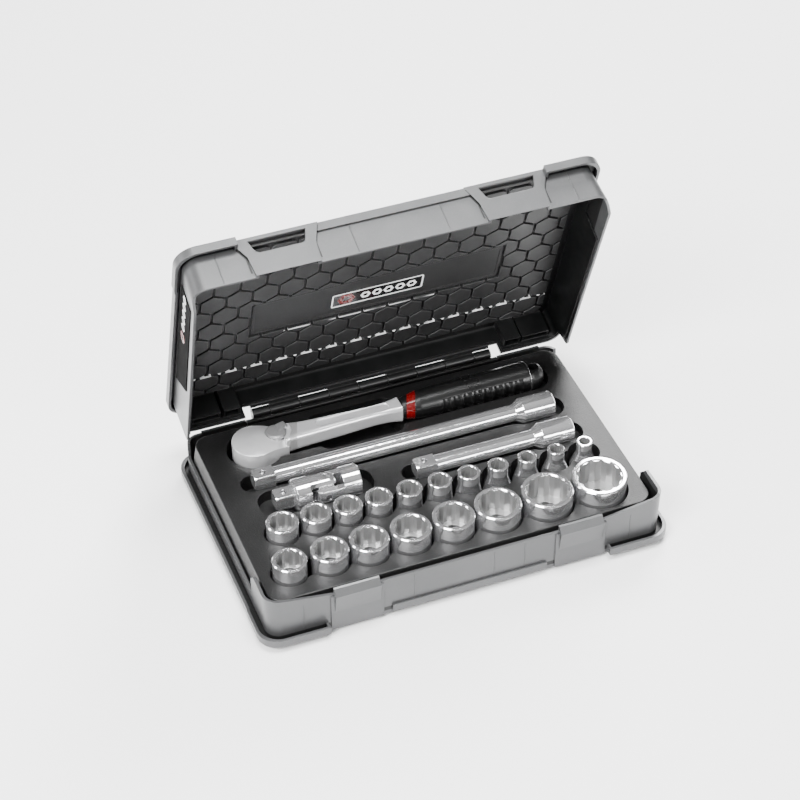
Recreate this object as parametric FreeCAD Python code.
import FreeCAD, Part
import math
import os
from FreeCAD import Vector

# Socket wrench set, 1/2 inch drive, in a hinged moulded case. Millimetres.
# Origin: centre of the case's underside. +X right, +Y to the hinge, +Z up.
# The case stands open: the lid is drawn closed and turned OPEN_DEG about the hinge.

os.makedirs("parts", exist_ok=True)

# ---- driving dimensions -------------------------------------------------------
OPEN_DEG = 72.0                      # lid angle at rest, 0 = closed
HINGE_Y, HINGE_Z = 104.5, 42.0       # hinge axis, along X
KNUCKLE_R, PIN_R = 4.0, 1.5
KNUCKLE_CUTS = (12.6, 37.8, 63.0, 88.2, 103.0)   # half widths where knuckles change sides

BASE_X, BASE_F, BASE_B = 160.3, -104.6, 104.0    # base wall, outside
LID_X, LID_F, LID_B = 163.2, -107.2, 100.5       # lid wall, outside, lid closed
EAR_X, LID_XF = 162.0, 165.6         # front corners flare out to these half widths
BASE_R, LID_R = 11.0, 12.0           # corner radii, outside
WALL = 2.4                           # base wall
LID_WALL = 2.1
WALL_TOP, SIDE_TOP, EAR_TOP = 38.8, 21.5, 46.5
EAR_BACK = -66.0                     # the tall front corners run back to here
LID_RIM, LID_SIDE_RIM = 32.0, 24.0   # rim of the lid's front and sides
LID_REAR_RIM, LID_HEEL_RIM = 47.0, 37.0          # rear rim over the hinge, and beside it
LID_TOP = 66.0
PAD_X = 91.0                         # latch pads, left and right of centre

TRAY_TOP, TRAY_T = 39.0, 1.4
TRAY_X, TRAY_F, TRAY_B = 155.9, -97.3, 96.0

FRONT_Y, FRONT_RIM = -71.7, 53.0     # row of large sockets
BACK_Y, BACK_RIM = -29.8, 51.0       # row of small sockets
FRONT_ROW = ((19, -132.2), (21, -100.5), (22, -68.8), (23, -35.4), (24, -0.6),
             (27, 35.8), (30, 77.0), (32, 120.8))
BACK_ROW = ((18, -123.4), (17, -96.2), (16, -70.4), (15, -45.2), (14, -20.2), (13, 5.0),
            (12, 29.3), (11, 53.8), (10, 78.4), (9, 102.9), (8, 127.2))

DRIVE = 12.6                         # male square, across flats
DRIVE_BORE = 12.95                   # female square, across flats
TOOL_Z = 42.0                        # axis height of the lying tools
LONG_Y, LONG_X0, LONG_X1 = 30.0, -127.0, 125.5
SHORT_Y, SHORT_X0, SHORT_X1 = -3.0, -5.5, 127.5
UJ_Y, UJ_X0, UJ_XC, UJ_X1 = 3.0, -119.0, -78.0, -50.0
RAT_Y, RAT_XH, RAT_XE = 67.0, -113.0, 133.0     # ratchet: axis, head centre, far end

X, Y, Z = Vector(1, 0, 0), Vector(0, 1, 0), Vector(0, 0, 1)


# ---- helpers --------------------------------------------------------------------
def box(x0, x1, y0, y1, z0, z1):
    return Part.makeBox(x1 - x0, y1 - y0, z1 - z0, Vector(x0, y0, z0))


def cyl(r, h, base, axis=Z):
    return Part.makeCylinder(r, h, base, axis)


def round_wire(x0, x1, y0, y1, r, z):
    """Closed wire: a rectangle with rounded corners, flat at height z."""
    c = [(x1 - r, y1 - r, 0), (x0 + r, y1 - r, 90), (x0 + r, y0 + r, 180), (x1 - r, y0 + r, 270)]
    edges, last, first = [], None, None
    for cx, cy, a in c:
        p = [Vector(cx + r * math.cos(math.radians(a + t)), cy + r * math.sin(math.radians(a + t)), z)
             for t in (0, 45, 90)]
        if last is not None and (p[0] - last).Length > 1e-6:
            edges.append(Part.LineSegment(last, p[0]).toShape())
        edges.append(Part.Arc(*p).toShape())
        last = p[2]
        first = first or p[0]
    if (first - last).Length > 1e-6:
        edges.append(Part.LineSegment(last, first).toShape())
    return Part.Wire(edges)


def rbox(x0, x1, y0, y1, r, z0, z1):
    """Upright block with rounded vertical corners."""
    return Part.Face(round_wire(x0, x1, y0, y1, r, z0)).extrude(Vector(0, 0, z1 - z0))


def outline(front, back, y0, y1, r, z):
    """Closed wire at height z: half widths at front and back, rounded corners."""
    pts = [Vector(back, y1, z), Vector(-back, y1, z), Vector(-front, y0, z), Vector(front, y0, z)]
    arcs = []
    for k, p in enumerate(pts):
        u, v = (pts[k - 1] - p).normalize(), (pts[(k + 1) % 4] - p).normalize()
        half, middle = u.getAngle(v) / 2, (u + v).normalize()
        run = r / math.tan(half)
        arcs.append((p + u * run, p + middle * (r / math.sin(half) - r), p + v * run))
    edges = []
    for k, arc in enumerate(arcs):
        edges.append(Part.Arc(*arc).toShape())
        edges.append(Part.LineSegment(arc[2], arcs[(k + 1) % 4][0]).toShape())
    return Part.Wire(edges)


def base_block(inset, z0, z1):
    """The base's outside drawn in by inset; its front corners flare out upward."""
    wires = []
    for z in (z0, z1):
        front = BASE_X + (EAR_X - BASE_X) * max(z, 0) / EAR_TOP
        wires.append(outline(front - inset, BASE_X - inset, BASE_F + inset, BASE_B - inset,
                             BASE_R - inset, z))
    return Part.makeLoft(wires, True, True)


def lid_block(inset, z0, z1):
    """The closed lid's outside drawn in by inset; it widens toward the front rim."""
    wires = []
    for z in (z0, z1):
        front = LID_X + (LID_XF - LID_X) * (LID_TOP - z) / (LID_TOP - LID_SIDE_RIM)
        wires.append(outline(front - inset, LID_X - inset, LID_F + inset, LID_B - inset, LID_R - inset, z))
    return Part.makeLoft(wires, True, True)


def prism(points, vec):
    """Solid from a closed list of points pushed along vec."""
    pts = [Vector(*p) for p in points]
    return Part.Face(Part.makePolygon(pts + pts[:1])).extrude(vec)


def side_prism(yz, x0, x1):
    return prism([(x0, y, z) for y, z in yz], Vector(x1 - x0, 0, 0))


def front_prism(xz, y0, y1):
    return prism([(x, y0, z) for x, z in xz], Vector(0, y1 - y0, 0))


def fuse(parts):
    parts = list(parts)
    return parts[0].multiFuse(parts[1:]).removeSplitter() if len(parts) > 1 else parts[0]


def mirror_x(shape):
    return shape.mirror(Vector(0, 0, 0), X)


def pair(shape):
    """The shape and its mirror image in the YZ plane."""
    return [shape, mirror_x(shape)]


def soften(shape, r, pick):
    """Fillet the edges pick() accepts; keeps the sharp shape if the kernel refuses."""
    edges = [e for e in shape.Edges if pick(e)]
    try:
        out = shape.makeFillet(r, edges)
        return out if out.isValid() and out.Volume > 0 else shape
    except Exception:
        return shape


def flat_at(z):
    return lambda e: abs(e.BoundBox.ZMin - z) < 1e-4 and abs(e.BoundBox.ZMax - z) < 1e-4


def revolve_x(profile, y, z):
    """Turn (x, radius) points about the X direction through (y, z)."""
    pts = [Vector(x, y, z + r) for x, r in profile]
    pts = [Vector(profile[0][0], y, z)] + pts + [Vector(profile[-1][0], y, z)]
    clean = [pts[0]] + [b for a, b in zip(pts, pts[1:]) if (a - b).Length > 1e-6]
    return Part.Face(Part.makePolygon(clean + clean[:1])).revolve(Vector(0, y, z), X, 360)


def revolve_z(profile, x, y):
    """Turn (radius, z) points about the vertical through (x, y)."""
    pts = [Vector(x + r, y, z) for r, z in profile]
    clean = [pts[0]] + [b for a, b in zip(pts, pts[1:]) if (a - b).Length > 1e-6]
    return Part.Face(Part.makePolygon(clean + clean[:1])).revolve(Vector(x, y, 0), Z, 360)


def opened(shape):
    """Swing a closed-lid shape to the rest angle."""
    s = shape.copy()
    s.rotate(Vector(0, HINGE_Y, HINGE_Z), Vector(-1, 0, 0), OPEN_DEG)
    return s


NODES = {}


def keep(name, shape):
    NODES[name] = shape


# ---- base -----------------------------------------------------------------------
def bumper(x, f, b, bulge_x, bulge_f, bulge_in, z0, z1):
    """Outline plate of a shell's bumper: straight runs plus thicker front corners."""
    parts = [rbox(-x, x, f, b, 17, z0, z1)]
    parts += pair(rbox(bulge_in, bulge_x, bulge_f, -58, 16, z0, z1))
    parts += pair(box(bulge_in, bulge_x - 20, bulge_f, -90, z0, z1))
    return fuse(parts)


def base_shell():
    outer = soften(base_block(0, 0, EAR_TOP), 4, flat_at(0))
    # bumper: a flange with a bead along its edge, broken by the two latches
    lip = bumper(167, -106.6, 109, 167.5, -111.5, 114, 4.6, 11.6)
    groove = bumper(164.8, -104.9, 107, 165.3, -109.3, 116, 6.4, 13)
    foot = rbox(-BASE_X + 0.5, BASE_X - 0.5, BASE_F + 0.5, BASE_B - 0.5, 10.5, 4, 14)
    lip = lip.cut(groove.cut(foot))
    lip = soften(lip, 1.0, flat_at(4.6))
    for gap in pair(box(63, 114, -115, BASE_F + 1, -1, 14)):
        lip = lip.cut(gap)
    shell = outer.fuse(lip)
    shell = shell.cut(base_block(WALL, 2.6, 60))
    # wall heights: level front and back, low sides, front corners rising outward
    crown = front_prism([(-200, EAR_TOP + 2), (-158, EAR_TOP), (-110, WALL_TOP), (110, WALL_TOP),
                         (158, EAR_TOP), (200, EAR_TOP + 2), (200, 70), (-200, 70)], -120, EAR_BACK)
    shell = shell.cut(crown)
    # the back end of each tall corner slopes down to the low side wall
    shell = shell.cut(side_prism([(EAR_BACK - 9, 70), (EAR_BACK - 9, 48), (EAR_BACK, 38), (EAR_BACK, 21.5),
                                  (96, 21.5), (96, 70)], -200, 200))
    shell = shell.cut(box(-200, 200, EAR_BACK, 120, WALL_TOP - 0.8, 70))
    shell = shell.cut(box(-200, 200, EAR_BACK, 97, SIDE_TOP, 70))
    shell = shell.cut(box(-109, 109, 97, 120, 36.2, 70))
    for corner in pair(box(146, 200, 80, 120, 36.0, 70)):
        shell = shell.cut(corner)
    # latch pads with the wedge each lid window rides over
    pads = []
    for pad in pair(box(70, 112, -105.8, BASE_F + 0.5, 3, 37)):
        pads.append(pad)
    wedge = [(-102.3, 36), (-102.7, 44), (-104.4, 43.4), (-108.9, 38.8), (-108.6, 37.4), (-105.8, 21),
             (-104.2, 21), (-104.2, 36)]
    for w in pair(side_prism(wedge, 73, 109)):
        pads.append(w)
    # vertical witness ribs on the front wall
    for x in (-133.0, -45.0, 20.0, 45.0, 133.0):
        pads.append(box(x - 0.35, x + 0.35, BASE_F - 0.3, BASE_F + 0.5, 10, 36))
    # ribs under the tray
    for x in (-52.0, 52.0):
        pads.append(box(x - 1, x + 1, BASE_F + WALL - 0.2, BASE_B - WALL + 0.2, 2.4, 2.9))
    return fuse([shell] + pads)


def knuckles(side):
    """Knuckle spans along X for side 'base' or 'lid'."""
    cuts = [-c for c in reversed(KNUCKLE_CUTS)] + list(KNUCKLE_CUTS)
    spans = list(zip(cuts, cuts[1:]))
    start = 0 if side == "base" else 1
    return [(a + 0.2, b - 0.2) for a, b in spans[start::2]]


def hinge_rail_base():
    parts = [box(-108.5, 108.5, BASE_B - WALL, BASE_B, 36.2, 37.0),
             box(-108.5, 108.5, 98.6, BASE_B - 0.2, 36.2, 37.4),
             cyl(1.6, 217, Vector(-108.5, 99.9, 38.2), X)]
    for a, b in knuckles("base"):
        parts.append(cyl(KNUCKLE_R, b - a, Vector(a, HINGE_Y, HINGE_Z), X))
        parts.append(box(a, b, 101.0, 107.0, 36.2, HINGE_Z))
    rail = fuse(parts)
    return rail.cut(cyl(PIN_R + 0.05, 260, Vector(-130, HINGE_Y, HINGE_Z), X))


def hinge_rail_lid():
    leaf = [(LID_B, LID_REAR_RIM + 9), (LID_B, 44.5), (HINGE_Y - 3.4, HINGE_Z + 1.0),
            (HINGE_Y + 3.4, HINGE_Z + 1.0), (LID_B + 3.2, LID_REAR_RIM + 1), (LID_B + 1.6, LID_REAR_RIM + 9)]
    parts = [box(-103, 103, LID_B, LID_B + 1.6, 45.6, LID_REAR_RIM + 9)]
    for a, b in knuckles("lid"):
        parts.append(cyl(KNUCKLE_R, b - a, Vector(a, HINGE_Y, HINGE_Z), X))
        parts.append(side_prism(leaf, a, b))
    rail = fuse(parts)
    return rail.cut(cyl(PIN_R + 0.05, 260, Vector(-130, HINGE_Y, HINGE_Z), X))


# ---- lid, drawn closed ------------------------------------------------------------
def lid_edge_cut():
    """Everything below the lid's rim, seen from the side, with a notch for the hinge."""
    below = side_prism([(-130, LID_RIM), (-100, LID_RIM), (-92, LID_SIDE_RIM), (88, LID_SIDE_RIM),
                        (91, LID_HEEL_RIM), (130, LID_HEEL_RIM), (130, -5), (-130, -5)], -200, 200)
    return below.fuse(box(-110, 110, 96, 130, 30, LID_REAR_RIM))


def latch_windows(top):
    """Openings in the front wall that the base's wedges snap into, up to height top."""
    shape = [(-22.5, top), (22.5, top), (19.6, 53.4), (18.4, 51.6), (16.4, 50.8), (-16.4, 50.8),
             (-18.4, 51.6), (-19.6, 53.4)]
    return pair(front_prism([(PAD_X + x, z) for x, z in shape], -130, -99))


def lid_shell():
    outer = soften(lid_block(0, 15, LID_TOP), 3, flat_at(LID_TOP))
    lip = bumper(168, -109.4, 105.5, 169.0, -115.5, 122, 58, 65.4)
    groove = bumper(165.8, -107.8, 103.5, 166.8, -113.3, 124, 56, 63)
    core = rbox(-LID_X + 0.5, LID_X - 0.5, LID_F + 0.5, LID_B - 0.5, 11.5, 50, 65)
    lip = soften(lip.cut(groove.cut(core)), 1.0, flat_at(65.4))
    pad = front_prism([(58, 65.6), (126, 65.6), (117.5, 49), (116, LID_RIM - 0.6),
                       (66, LID_RIM - 0.6), (64.5, 49)], -109.6, LID_F + 0.6)
    shell = fuse([outer, lip] + pair(pad))
    shell = shell.cut(lid_block(LID_WALL, 0, LID_TOP - 2.2))
    shell = shell.cut(lid_edge_cut())
    for cut in pair(box(68, 114, -109.0, -100, 20, 47.5)) + latch_windows(62.4):
        shell = shell.cut(cut)
    rib = []
    for x in (-140.0, -36.0, 36.0, 140.0):
        rib.append(box(x - 0.35, x + 0.35, LID_F - 0.3, LID_F + 0.5, 33, 60))
    return fuse([shell] + rib)


LINER_Z, LINER_T = 62.6, 1.1         # liner floor, facing the tools, and its sheet
HEX_PITCH, HEX_ROW, HEX_GAP, HEX_H = 21.0, 18.2, 2.6, 2.0
LABEL = (-103.0, 103.0, -22.5, 18.5)


def hexagon(x, y, flat):
    r = flat / 2 / math.cos(math.pi / 6)
    pts = [(x + r * math.sin(math.radians(60 * k)), y + r * math.cos(math.radians(60 * k)),
            LINER_Z - HEX_H) for k in range(6)]
    return prism(pts, Vector(0, 0, HEX_H))


def sleeve(x0, x1, y0, z0):
    """Rear corner post of the liner: a box open at its lower end."""
    return box(x0, x1, y0, 97.6, z0, LINER_Z).cut(box(x0 + 1.5, x1 - 1.5, y0 + 1.5, 96.5, 0, LINER_Z - 3))


def lid_liner():
    block = lid_block(LID_WALL + 0.3, LID_SIDE_RIM + 2, LINER_Z + LINER_T)
    block = block.cut(lid_block(LID_WALL + 1.5, 0, LINER_Z))
    block = block.cut(side_prism([(-130, 49), (-62, 49), (-56, LID_SIDE_RIM + 2.5), (85, LID_SIDE_RIM + 2.5),
                                  (89, LID_HEEL_RIM + 1), (130, LID_HEEL_RIM + 1), (130, 0), (-130, 0)],
                                 -200, 200))
    block = block.cut(box(-111, 111, 90, 130, 30, LID_REAR_RIM + 1))
    # raised honeycomb pads, left out round the label
    cells = []
    for row in range(11):
        y = -92.0 + HEX_ROW * row
        shift = HEX_PITCH / 2 if row % 2 else 0.0
        for col in range(-8, 9):
            cells.append(hexagon(col * HEX_PITCH + shift, y, HEX_PITCH - HEX_GAP))
    x0, x1, y0, y1 = LABEL
    field = rbox(-153, 153, -99, 88, 8, LINER_Z - HEX_H, LINER_Z)
    field = field.cut(box(x0 - 2, x1 + 2, y0 - 2, y1 + 2, 0, 99))
    field = field.cut(side_prism([(61.4, 60), (63.0, LINER_Z - 0.6), (64.0, 60)], -200, 200))
    pads = Part.makeCompound(cells).common(field)
    # pillars in both rear corners
    posts = pair(sleeve(113.5, 127.5, 87.5, 40.5)) + pair(sleeve(129.5, 153.5, 90.0, 41.5))
    liner = block.multiFuse([s for s in pads.Solids] + posts)
    for w in latch_windows(LINER_Z - HEX_H - 0.4):
        liner = liner.cut(w)
    return liner.removeSplitter()


def label_plate():
    x0, x1, y0, y1 = LABEL
    plate = rbox(x0, x1, y0, y1, 3, LINER_Z - 1.0, LINER_Z)
    return plate.cut(rbox(x0 + 2, x1 - 2, y0 + 2, y1 - 2, 2, 0, LINER_Z - 0.5))


def emblem_plate():
    return rbox(-38, 38, -9, 8, 3, LINER_Z - 1.1, LINER_Z - 0.5)


def emblem_hex():
    z = LINER_Z - 1.1
    ring = [(-26 + 6 * math.cos(math.radians(60 * k)), -0.5 + 6 * math.sin(math.radians(60 * k)), z - 0.3)
            for k in range(6)]
    hexa = prism(ring, Vector(0, 0, 0.3)).cut(cyl(3.2, 2, Vector(-26, -0.5, z - 1)))
    return hexa


def side_badge():
    """Thin panel lying on the lid's left wall."""
    yz = [(-84, 31), (-84, 56), (44, 56), (26, 31)]
    skin = lid_block(-0.7, 26, 60).cut(lid_block(0, 24, 62))
    return skin.common(side_prism(yz, -175, -150))


# ---- sockets ----------------------------------------------------------------------
def socket_size(s):
    """Outside radius at the mouth, length, cavity depth."""
    length = 38.0 if s <= 19 else 38.0 + 9.0 * (s - 19) / 13.0
    return 0.635 * s + 1.15, length, 9.0 + 0.42 * s


def socket(s, x, y, rim):
    r, length, depth = socket_size(s)
    z0, z1 = rim - length, rim
    if s <= 14:                      # flares out to the drive end
        drive_r = 11.0
        prof = [(0, z0), (drive_r - 0.6, z0), (drive_r, z0 + 0.6), (drive_r, z0 + 14.5),
                (r, z1 - 11), (r, z1 - 0.6), (r - 0.6, z1), (0, z1)]
    elif s >= 27:                    # necks down to the drive end
        drive_r = 15.0
        prof = [(0, z0), (drive_r - 0.8, z0), (drive_r, z0 + 0.8), (drive_r, z0 + 11),
                (r - 0.6, z0 + 17), (r, z0 + 18.5), (r, z1 - 0.9), (r - 0.9, z1), (0, z1)]
    else:
        drive_r = max(r - 0.6, 11.0)
        prof = [(0, z0), (drive_r - 0.8, z0), (drive_r, z0 + 0.8), (drive_r, z0 + 12), (r, z0 + 14),
                (r, z1 - 0.8), (r - 0.8, z1), (0, z1)]
    body = revolve_z(prof, x, y)
    tip, root = s / 2 / math.cos(math.pi / 6), s / 2 / math.cos(math.pi / 12)
    star = []
    for k in range(24):
        a = math.radians(15 * k)
        rad = (tip - 0.12) if k % 2 == 0 else root
        star.append((x + rad * math.cos(a), y + rad * math.sin(a), z1 - depth))
    body = body.cut(prism(star, Vector(0, 0, depth + 1)))
    body = body.cut(revolve_z([(0, z1 - 0.9), (tip - 0.9, z1 - 0.9), (tip + 0.25, z1 + 0.25), (0, z1 + 0.25)],
                              x, y))
    bore = min(0.42 * s, 8.6)
    body = body.cut(cyl(bore, length, Vector(x, y, z0 + 1)))
    h = DRIVE_BORE / 2
    body = body.cut(box(x - h, x + h, y - h, y + h, z0 - 1, z0 + 15.5))
    # cross hole for a locking pin, through the drive end
    return body.cut(cyl(1.7, 60, Vector(x, y - 30, z0 + 7.5), Y))


# ---- square drives with sprung balls -------------------------------------------------
BALL_R, BALL_OUT, SPRING_R = 2.3, 0.7, 1.9


def square_x(x0, x1, y, z):
    """Male square along X with a chamfered tip at x0."""
    h = DRIVE / 2
    bar = box(x0, x1, y - h, y + h, z - h, z + h)
    tip = revolve_x([(x0, h * 1.18), (x0 + 2.0, h * 1.33), (x1, h * 1.33)], y, z)
    return bar.common(tip)


def ball_hole(x, y, face_z):
    """Blind hole from the top face down."""
    return cyl(BALL_R + 0.05, 8.5, Vector(x, y, face_z - 7.5))


def ball(x, y, face_z):
    return Part.makeSphere(BALL_R, Vector(x, y, face_z + BALL_OUT - BALL_R))


def coil(x, y, z0, z1, turns=4):
    """Spring in its pressed length: round wire wound as a helix."""
    wire_r = 0.25
    pitch = (z1 - z0 - 2 * wire_r) / turns
    path = Part.makeHelix(pitch, pitch * turns, SPRING_R - wire_r)
    ring = Part.Wire(Part.makeCircle(wire_r, Vector(SPRING_R - wire_r, 0, 0), Y))
    s = Part.Wire(path).makePipeShell([ring], True, True)
    s.translate(Vector(x, y, z0 + wire_r))
    return s


# ---- extension bars and universal joint ------------------------------------------------
def extension(x0, x1, y):
    z, r, big = TOOL_Z, 6.9, 10.5
    shank = revolve_x([(x0 + 15, 6.0), (x0 + 17.5, r), (x1 - 33, r), (x1 - 27, big), (x1 - 1, big),
                       (x1, big - 1)], y, z)
    body = fuse([shank, square_x(x0, x0 + 17, y, z)])
    h = DRIVE_BORE / 2
    body = body.cut(box(x1 - 16, x1 + 1, y - h, y + h, z - h, z + h))
    return body.cut(ball_hole(x0 + 8, y, z + DRIVE / 2))


UJ_R, UJ_GAP, UJ_ARM, UJ_BLOCK = 12.6, 6.7, 5.3, 12.6
UJ_FACE = 13.3                       # pivot to the face of either hub


def uj_trim(a, b):
    """Rounds the free end of the arms to a ball about the pivot, so the joint can bend."""
    blank = box(UJ_XC + a, UJ_XC + b, UJ_Y - 20, UJ_Y + 20, TOOL_Z - 20, TOOL_Z + 20)
    return blank.cut(Part.makeSphere(12.9, Vector(UJ_XC, UJ_Y, TOOL_Z)))


def uj_drive_yoke():
    z = TOOL_Z
    hub = revolve_x([(UJ_X0 + 14, 7.4), (UJ_X0 + 15.5, UJ_R - 1), (UJ_X0 + 17, UJ_R), (UJ_XC - UJ_FACE, UJ_R)],
                    UJ_Y, z)
    arms = box(UJ_XC - UJ_FACE - 1, UJ_XC + 7.5, UJ_Y - UJ_ARM, UJ_Y + UJ_ARM, z - UJ_R, z + UJ_R)
    arms = arms.common(revolve_x([(UJ_XC - UJ_FACE - 1, UJ_R), (UJ_XC + 7.5, UJ_R)], UJ_Y, z))
    arms = arms.cut(box(UJ_XC - UJ_FACE, UJ_XC + 9, UJ_Y - 14, UJ_Y + 14, z - UJ_GAP, z + UJ_GAP))
    arms = arms.cut(uj_trim(0, 12))
    yoke = fuse([hub, square_x(UJ_X0, UJ_X0 + 16, UJ_Y, z), arms])
    yoke = yoke.cut(cyl(2.5, 40, Vector(UJ_XC, UJ_Y, z - 20)))
    return yoke.cut(ball_hole(UJ_X0 + 7.5, UJ_Y, z + DRIVE / 2))


def uj_socket_yoke():
    z = TOOL_Z
    hub = revolve_x([(UJ_XC + UJ_FACE, UJ_R), (UJ_X1 - 1, UJ_R), (UJ_X1, UJ_R - 1)], UJ_Y, z)
    arms = box(UJ_XC - 7.5, UJ_XC + UJ_FACE + 1, UJ_Y - UJ_R, UJ_Y + UJ_R, z - UJ_ARM, z + UJ_ARM)
    arms = arms.common(revolve_x([(UJ_XC - 7.5, UJ_R), (UJ_XC + UJ_FACE + 1, UJ_R)], UJ_Y, z))
    arms = arms.cut(box(UJ_XC - 9, UJ_XC + UJ_FACE, UJ_Y - UJ_GAP, UJ_Y + UJ_GAP, z - 14, z + 14))
    arms = arms.cut(uj_trim(-12, 0))
    h = DRIVE_BORE / 2
    yoke = fuse([hub, arms]).cut(box(UJ_X1 - 12.8, UJ_X1 + 1, UJ_Y - h, UJ_Y + h, z - h, z + h))
    return yoke.cut(cyl(2.5, 40, Vector(UJ_XC, UJ_Y - 20, z), Y))


def uj_cross():
    b = UJ_BLOCK / 2
    block = box(UJ_XC - b, UJ_XC + b, UJ_Y - b, UJ_Y + b, TOOL_Z - b, TOOL_Z + b)
    block = block.makeChamfer(0.6, block.Edges)
    block = block.cut(cyl(2.55, 40, Vector(UJ_XC, UJ_Y, TOOL_Z - 20)))
    return block.cut(cyl(2.45, 40, Vector(UJ_XC, UJ_Y - 20, TOOL_Z), Y))


def uj_long_pin():
    return cyl(2.5, 2 * UJ_R - 1.2, Vector(UJ_XC, UJ_Y, TOOL_Z - UJ_R + 0.6))


def uj_short_pins():
    start = 3.0
    pins = [cyl(2.45, UJ_R - 0.6 - start, Vector(UJ_XC, UJ_Y + sgn * start, TOOL_Z), Vector(0, sgn, 0))
            for sgn in (-1, 1)]
    return Part.makeCompound(pins)


# ---- ratchet ------------------------------------------------------------------------
HEAD_R, HEAD_TOP, HEAD_BOTTOM = 18.0, 51.0, 28.0
LEVER_X, LEVER_Y = -95.0, 69.0
GEAR_R, GEAR_TEETH = 10.6, 32
CAVITY_R = 12.2
NECK_X0, NECK_X1 = -86.0, 9.0
GRIP_X0, GRIP_X1 = 9.5, 119.0
CAP_X0 = 119.4


def ratchet_body():
    y, z = RAT_Y, TOOL_Z
    # pear head: circle run out to the neck
    head = fuse([cyl(HEAD_R, HEAD_TOP - HEAD_BOTTOM, Vector(RAT_XH, y, HEAD_BOTTOM)),
                 prism([(RAT_XH + 3, y - HEAD_R + 0.25, HEAD_BOTTOM), (RAT_XH + 3, y + HEAD_R - 0.25, HEAD_BOTTOM),
                        (NECK_X0 - 2, y + 11.5, HEAD_BOTTOM), (NECK_X0 - 2, y - 11.5, HEAD_BOTTOM)],
                       Vector(0, 0, HEAD_TOP - HEAD_BOTTOM))])
    dome = Part.makeSphere(50, Vector(RAT_XH, y, HEAD_TOP - 50))
    head = head.common(dome)
    head = soften(head, 2.5, lambda e: e.BoundBox.ZMin > HEAD_BOTTOM + 14 and e.BoundBox.ZMax < HEAD_TOP
                  and e.BoundBox.ZLength < 5)
    # neck: lofted from the head's shoulder to the round collar
    secs = []
    for x, w, h in ((NECK_X0 - 4, 22, 17), (-60, 16.5, 15), (-30, 14, 14.5), (NECK_X1 - 8, 14.5, 14.5),
                    (NECK_X1, 17, 16)):
        wire = round_wire(-h / 2, h / 2, -w / 2, w / 2, 3.6, 0)
        wire.rotate(Vector(0, 0, 0), Y, -90)
        wire.translate(Vector(x, y, z + (1.0 if x < -80 else 0)))
        secs.append(wire)
    neck = Part.makeLoft(secs, True, False)
    tang = cyl(5.5, 96, Vector(NECK_X1 - 1, y, z), X)
    body = fuse([head, neck, tang])
    # oval relief along the top of the neck
    oval = rbox(-62, 0, y - 4.2, y + 4.2, 4.19, z + 6.2, z + 20)
    body = body.cut(oval)
    body = body.cut(rbox(-62, 0, y - 4.2, y + 4.2, 4.19, z - 20, z - 6.2))
    # lever seat, gear cavity, pawl pocket
    body = body.cut(cyl(8.4, 20, Vector(LEVER_X, LEVER_Y, HEAD_TOP - 3.4)))
    sweep = cyl(13.0, 20, Vector(LEVER_X, LEVER_Y, HEAD_TOP - 3.4))
    body = body.cut(sweep.common(box(LEVER_X + 0.5, LEVER_X + 20, LEVER_Y - 20, LEVER_Y + 20, 0, 90)))
    body = body.cut(cyl(CAVITY_R, 15.5, Vector(RAT_XH, y, HEAD_BOTTOM - 1)))
    body = body.cut(cyl(14.6, 2.6, Vector(RAT_XH, y, HEAD_BOTTOM - 1)))
    body = body.cut(cyl(5.05, 16, Vector(RAT_XH, y, HEAD_BOTTOM + 1)))
    body = body.cut(cyl(8.4, 12.0, Vector(LEVER_X, LEVER_Y, HEAD_BOTTOM + 4)))
    body = body.cut(cyl(3.05, 20, Vector(LEVER_X, LEVER_Y, HEAD_BOTTOM + 12)))
    for a in (60, 180, 300):
        sx, sy = screw_xy(a)
        body = body.cut(cyl(0.95, 7, Vector(sx, sy, HEAD_BOTTOM + 1)))
    return body


def screw_xy(a):
    r = 13.3
    return RAT_XH + r * math.cos(math.radians(a)), RAT_Y + r * math.sin(math.radians(a))


def drive_gear():
    pts = []
    for k in range(GEAR_TEETH):
        for frac, rad in ((0.0, GEAR_R), (0.22, GEAR_R), (0.5, GEAR_R - 0.9), (0.78, GEAR_R - 0.9)):
            a = 2 * math.pi * (k + frac) / GEAR_TEETH
            pts.append((RAT_XH + rad * math.cos(a), RAT_Y + rad * math.sin(a), HEAD_BOTTOM + 2.2))
    gear = prism(pts, Vector(0, 0, 11.6))
    h = DRIVE / 2
    square = box(RAT_XH - h, RAT_XH + h, RAT_Y - h, RAT_Y + h, 11.5, HEAD_BOTTOM)
    square = square.common(revolve_z([(0, 11.5), (h * 1.18, 11.5), (h * 1.33, 13.5), (h * 1.33, 40), (0, 40)],
                                     RAT_XH, RAT_Y))
    body = fuse([gear, cyl(5.0, 3.0, Vector(RAT_XH, RAT_Y, HEAD_BOTTOM + 12)),
                 cyl(9.4, 5.0, Vector(RAT_XH, RAT_Y, HEAD_BOTTOM - 1.6)), square])
    return body.cut(cyl(BALL_R + 0.05, 8.3, Vector(RAT_XH, RAT_Y - h - 0.5, 18.5), Y))


def gear_ball():
    return Part.makeSphere(BALL_R, Vector(RAT_XH, RAT_Y - DRIVE / 2 - BALL_OUT + BALL_R, 18.5))


def gear_spring():
    s = coil(0, 0, 0, 2.8)
    s.rotate(Vector(0, 0, 0), X, -90)
    s.translate(Vector(RAT_XH, RAT_Y - DRIVE / 2 + 4.8, 18.5))
    return s


def cover_plate():
    ring = cyl(14.5, 1.5, Vector(RAT_XH, RAT_Y, HEAD_BOTTOM))
    ring = ring.cut(cyl(9.45, 5, Vector(RAT_XH, RAT_Y, HEAD_BOTTOM - 1)))
    for a in (60, 180, 300):
        sx, sy = screw_xy(a)
        ring = ring.cut(cyl(1.0, 5, Vector(sx, sy, HEAD_BOTTOM - 1)))
    return ring


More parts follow.
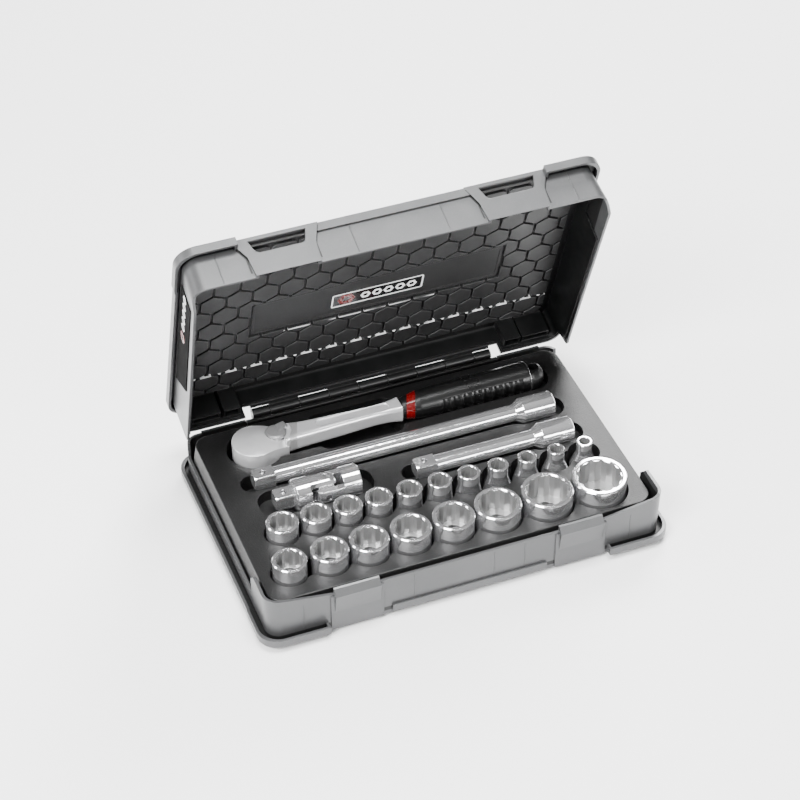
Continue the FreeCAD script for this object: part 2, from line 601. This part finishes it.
def cover_screws():
    out = []
    for a in (60, 180, 300):
        sx, sy = screw_xy(a)
        screw = fuse([cyl(0.9, 6.0, Vector(sx, sy, HEAD_BOTTOM)), cyl(1.6, 0.7, Vector(sx, sy, HEAD_BOTTOM - 0.7))])
        out.append(screw.cut(box(sx - 1.8, sx + 1.8, sy - 0.2, sy + 0.2, HEAD_BOTTOM - 1, HEAD_BOTTOM - 0.35)))
    return Part.makeCompound(out)


def lever():
    z = HEAD_TOP - 3.2
    disc = revolve_z([(0, z), (8.0, z), (8.0, z + 2.4), (6.6, z + 3.2), (0, z + 3.6)], LEVER_X, LEVER_Y)
    tab = prism([(LEVER_X + 2, LEVER_Y - 3.2, z), (LEVER_X + 10.5, LEVER_Y + 3.2, z),
                 (LEVER_X + 9.4, LEVER_Y + 8.2, z), (LEVER_X + 2.5, LEVER_Y + 6.5, z)], Vector(0, 0, 4.6))
    tab = soften(tab, 1.4, lambda e: e.BoundBox.ZMin > z + 4.5)
    shaft = cyl(3.0, z + 0.2 - 33.5, Vector(LEVER_X, LEVER_Y, 33.5))
    return fuse([disc, tab, shaft])


def pawl():
    """Rocking pawl on the lever's shaft, its toothed face a hair clear of the gear."""
    z0, z1 = HEAD_BOTTOM + 4.6, HEAD_BOTTOM + 11.4
    block = cyl(7.6, z1 - z0, Vector(LEVER_X, LEVER_Y, z0))
    block = block.cut(cyl(GEAR_R + 0.6, 20, Vector(RAT_XH, RAT_Y, z0 - 1)))
    block = block.cut(box(LEVER_X + 3.9, LEVER_X + 12, LEVER_Y - 12, LEVER_Y + 12, z0 - 1, z1 + 1))
    return block.cut(cyl(3.05, 20, Vector(LEVER_X, LEVER_Y, z0 - 1)))


def grip():
    y, z = RAT_Y, TOOL_Z
    prof = [(GRIP_X0, 8.6), (14, 9.6), (24, 11.6), (40, 12.3), (100, 12.5), (GRIP_X1 - 1.5, 12.8), (GRIP_X1, 12.6)]
    body = revolve_x(prof, y, z)
    body = body.cut(cyl(5.55, 200, Vector(0, y, z), X).common(box(0, NECK_X1 + 95.3, 0, 120, 0, 90)))
    # eight finger scallops along the front side
    for k in range(8):
        cx = 46.0 + 8.9 * k
        ring = Part.makeTorus(17.6, 6.3, Vector(cx, y, z), X)
        sector = box(cx - 3.6, cx + 3.6, y - 20, y - 5.5, z - 9, z + 7.6)
        body = body.cut(ring.common(sector))
    return body.cut(band_blank())


def band_blank():
    """Slanted ring that carries the coloured band."""
    y, z = RAT_Y, TOOL_Z
    ring = cyl(16, 6.8, Vector(15.4, y, z), X).cut(cyl(8.3, 20, Vector(9, y, z), X))
    ring.rotate(Vector(18.8, y, z), Z, -20)
    return ring


def grip_band():
    full = revolve_x([(10, 9.0), (14, 9.6), (24, 11.6), (40, 12.3)], RAT_Y, TOOL_Z)
    return band_blank().common(full)


def end_cap():
    y, z = RAT_Y, TOOL_Z
    body = revolve_x([(CAP_X0, 12.3), (CAP_X0 + 3, 11.9), (CAP_X0 + 8, 10.4), (CAP_X0 + 12, 7.6),
                      (RAT_XE, 5.0)], y, z)
    body = body.common(box(CAP_X0 - 1, RAT_XE + 1, y - 20, y + 20, z - 20, z + 9.0))
    return body.cut(cyl(4.0, 60, Vector(CAP_X0 + 5.6, y, z - 30)))


def collar():
    return revolve_x([(GRIP_X1, 12.7), (CAP_X0, 12.7)], RAT_Y, TOOL_Z)


# ---- tool tray ------------------------------------------------------------------------
def pockets(grow):
    """Tool pockets; grow > 0 gives the cup walls round them."""
    g, top = grow, TRAY_TOP + 1
    cut = []

    def well(x0, x1, y0, y1, r, floor):
        cut.append(rbox(x0 - g, x1 + g, y0 - g, y1 + g, r + g, floor - g, top))

    def trough(row, y, rim, half):
        for (s, x), nxt in zip(row, row[1:] + (None,)):
            r, length, _ = socket_size(s)
            r = max(r, 11.0)
            cut.append(cyl(r + 1.7 + g, 99, Vector(x, y, rim - length - 0.4 - g)))
            if nxt:
                floor = rim - max(length, socket_size(nxt[0])[1]) + 6.0
                cut.append(box(x, nxt[1], y - half - g, y + half + g, floor - g, 99))

    trough(FRONT_ROW, FRONT_Y, FRONT_RIM, 8.5)
    trough(BACK_ROW, BACK_Y, BACK_RIM, 6.0)
    # long bar, short bar, universal joint
    well(LONG_X0 - 10, LONG_X1 - 20, LONG_Y - 9.3, LONG_Y + 9.3, 9.2, 33.4)
    well(LONG_X0 - 10, LONG_X0 + 30, LONG_Y - 9.3, LONG_Y + 9.3, 9.2, 24)
    well(LONG_X1 - 40, LONG_X1 + 10, LONG_Y - 12.6, LONG_Y + 12.6, 12.5, 31.2)
    well(SHORT_X0 - 10, SHORT_X1 - 20, SHORT_Y - 9.3, SHORT_Y + 9.3, 9.2, 33.4)
    well(SHORT_X0 - 10, SHORT_X0 + 24, SHORT_Y - 9.3, SHORT_Y + 9.3, 9.2, 24)
    well(SHORT_X1 - 40, SHORT_X1 + 10, SHORT_Y - 12.2, SHORT_Y + 12.2, 12.1, 31.2)
    well(UJ_X0 - 12, UJ_X1 + 12, UJ_Y - 15, UJ_Y + 15, 13, 29.0)
    # ratchet: head, neck with finger room, grip
    cut.append(cyl(HEAD_R + 4.5 + g, 99, Vector(RAT_XH, RAT_Y, 9 - g)))
    well(RAT_XH - 10, -50, RAT_Y - 15.5, RAT_Y + 15.5, 8, 26)
    well(-64, 8, RAT_Y - 21.5, RAT_Y + 21.5, 9, 14)
    well(-4, RAT_XE + 5, RAT_Y - 14.6, RAT_Y + 14.6, 14.5, 28.6)
    return fuse(cut)


def tray_envelope(inset):
    """Sloping skirt under the tray's top; inset > 0 gives the hollow beneath."""
    i, zs = inset, 21.0
    low = rbox(-157.4 + i, 157.4 - i, -101.6 + i, 101.0 - i, 13.5 - i / 2, 3.0 - i, zs)
    wires = [round_wire(-157.4 + i, 157.4 - i, -101.6 + i, 101.0 - i, 13.5 - i / 2, zs),
             round_wire(-TRAY_X + i, TRAY_X - i, TRAY_F + i, TRAY_B - i, 12.0 - i / 2, TRAY_TOP - i)]
    return low.fuse(Part.makeLoft(wires, True, False)).removeSplitter()


def tool_tray():
    skin = tray_envelope(0)
    skin = soften(skin, 1.0, flat_at(TRAY_TOP))
    hollow = tray_envelope(TRAY_T)
    shell = skin.cut(hollow)
    cups = pockets(TRAY_T).common(skin)
    return shell.fuse(cups).cut(pockets(0)).removeSplitter()


# ---- build ----------------------------------------------------------------------------
keep("base_shell", base_shell())
keep("tool_tray", tool_tray())
keep("hinge_rail_base", hinge_rail_base())
keep("hinge_pin", cyl(PIN_R, 2 * KNUCKLE_CUTS[-1] - 0.4, Vector(-KNUCKLE_CUTS[-1] + 0.2, HINGE_Y, HINGE_Z), X))

keep("lid_shell", opened(lid_shell()))
keep("lid_liner", opened(lid_liner()))
keep("hinge_rail_lid", opened(hinge_rail_lid()))
keep("lid_label_plate", opened(label_plate()))
keep("lid_emblem_plate", opened(emblem_plate()))
keep("lid_emblem_hex", opened(emblem_hex()))
keep("lid_side_badge", opened(side_badge()))

for size, px in FRONT_ROW:
    keep("socket_%02d" % size, socket(size, px, FRONT_Y, FRONT_RIM))
for size, px in BACK_ROW:
    keep("socket_%02d" % size, socket(size, px, BACK_Y, BACK_RIM))

FACE_Z = TOOL_Z + DRIVE / 2
for name, bx, by in (("long_extension", LONG_X0 + 8, LONG_Y), ("short_extension", SHORT_X0 + 8, SHORT_Y),
                     ("joint_drive_yoke", UJ_X0 + 7.5, UJ_Y)):
    keep(name + "_ball", ball(bx, by, FACE_Z))
    keep(name + "_spring", coil(bx, by, FACE_Z - 7.4, FACE_Z - 4.7))
keep("long_extension", extension(LONG_X0, LONG_X1, LONG_Y))
keep("short_extension", extension(SHORT_X0, SHORT_X1, SHORT_Y))
keep("joint_drive_yoke", uj_drive_yoke())
keep("joint_socket_yoke", uj_socket_yoke())
keep("joint_cross", uj_cross())
keep("joint_long_pin", uj_long_pin())
keep("joint_short_pins", uj_short_pins())

keep("ratchet_body", ratchet_body())
keep("ratchet_drive_gear", drive_gear())
keep("ratchet_ball", gear_ball())
keep("ratchet_ball_spring", gear_spring())
keep("ratchet_cover_plate", cover_plate())
keep("ratchet_cover_screws", cover_screws())
keep("ratchet_lever", lever())
keep("ratchet_pawl", pawl())
keep("ratchet_grip", grip())
keep("ratchet_grip_band", grip_band())
keep("ratchet_collar", collar())
keep("ratchet_end_cap", end_cap())

for name, shape in NODES.items():
    solids = shape.Solids
    if not solids or not shape.isValid():
        print("BAD", name, shape.isValid(), len(solids))
    shape.exportStep("parts/" + name + ".step")
    bb = shape.BoundBox
    print("%-26s solids %d  x %.1f..%.1f y %.1f..%.1f z %.1f..%.1f  vol %.1f cm3" % (
        name, len(solids), bb.XMin, bb.XMax, bb.YMin, bb.YMax, bb.ZMin, bb.ZMax, shape.Volume / 1000))
print(len(NODES), "nodes")
